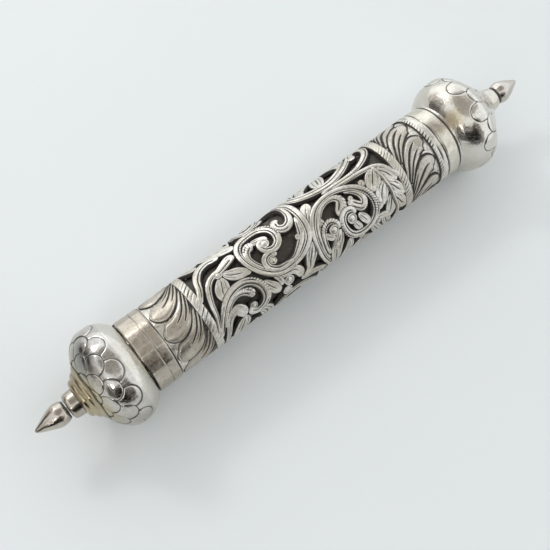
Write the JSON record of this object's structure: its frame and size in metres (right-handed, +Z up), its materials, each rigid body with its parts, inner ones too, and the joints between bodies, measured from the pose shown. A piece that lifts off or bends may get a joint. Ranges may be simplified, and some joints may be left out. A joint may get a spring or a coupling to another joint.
{
  "type": "needle case",
  "caption": "Cylindrical silver needle case: pierced scrollwork tube over a needle tube, bulb foot with finial and a pull-off bulb cap.",
  "frame": {"origin": "bottom centre of the object's box: on the table, under the middle of its length", "axes": "+X along the case from the cap's finial to the foot's finial, +Z up"},
  "size_m": [0.1418, 0.0244, 0.0243],
  "materials": {
    "chased_silver": "chased silver with dark tarnish in the recesses",
    "polished_silver": "hand-polished silver, lightly scratched",
    "gilt_tarnish": "silver with a warm yellowish tarnish",
    "dark_lining": "blackened metal"
  },
  "bodies": {
    "case": {"openwork_barrel": "chased_silver", "needle_tube": "dark_lining", "needle_tube_end": "dark_lining", "mouth_ferrule": "polished_silver", "foot_ferrule": "polished_silver", "foot_bulb": "polished_silver", "foot_finial_collar": "polished_silver", "foot_finial_drop": "polished_silver", "foot_finial_stud": "polished_silver"},
    "cap": {"cap_dome": "chased_silver", "cap_base_shell": "polished_silver", "cap_sleeve": "polished_silver", "cap_sleeve_end": "dark_lining", "cap_finial_seat": "gilt_tarnish", "cap_finial_collar": "polished_silver", "cap_finial_drop": "polished_silver", "cap_finial_stud": "polished_silver"}
  },
  "joints": [
    {"name": "cap_pull", "type": "slide", "parent": "case", "child": "cap", "axis": [-1, 0, 0], "range_m": [0, 0.018]}
  ]
}
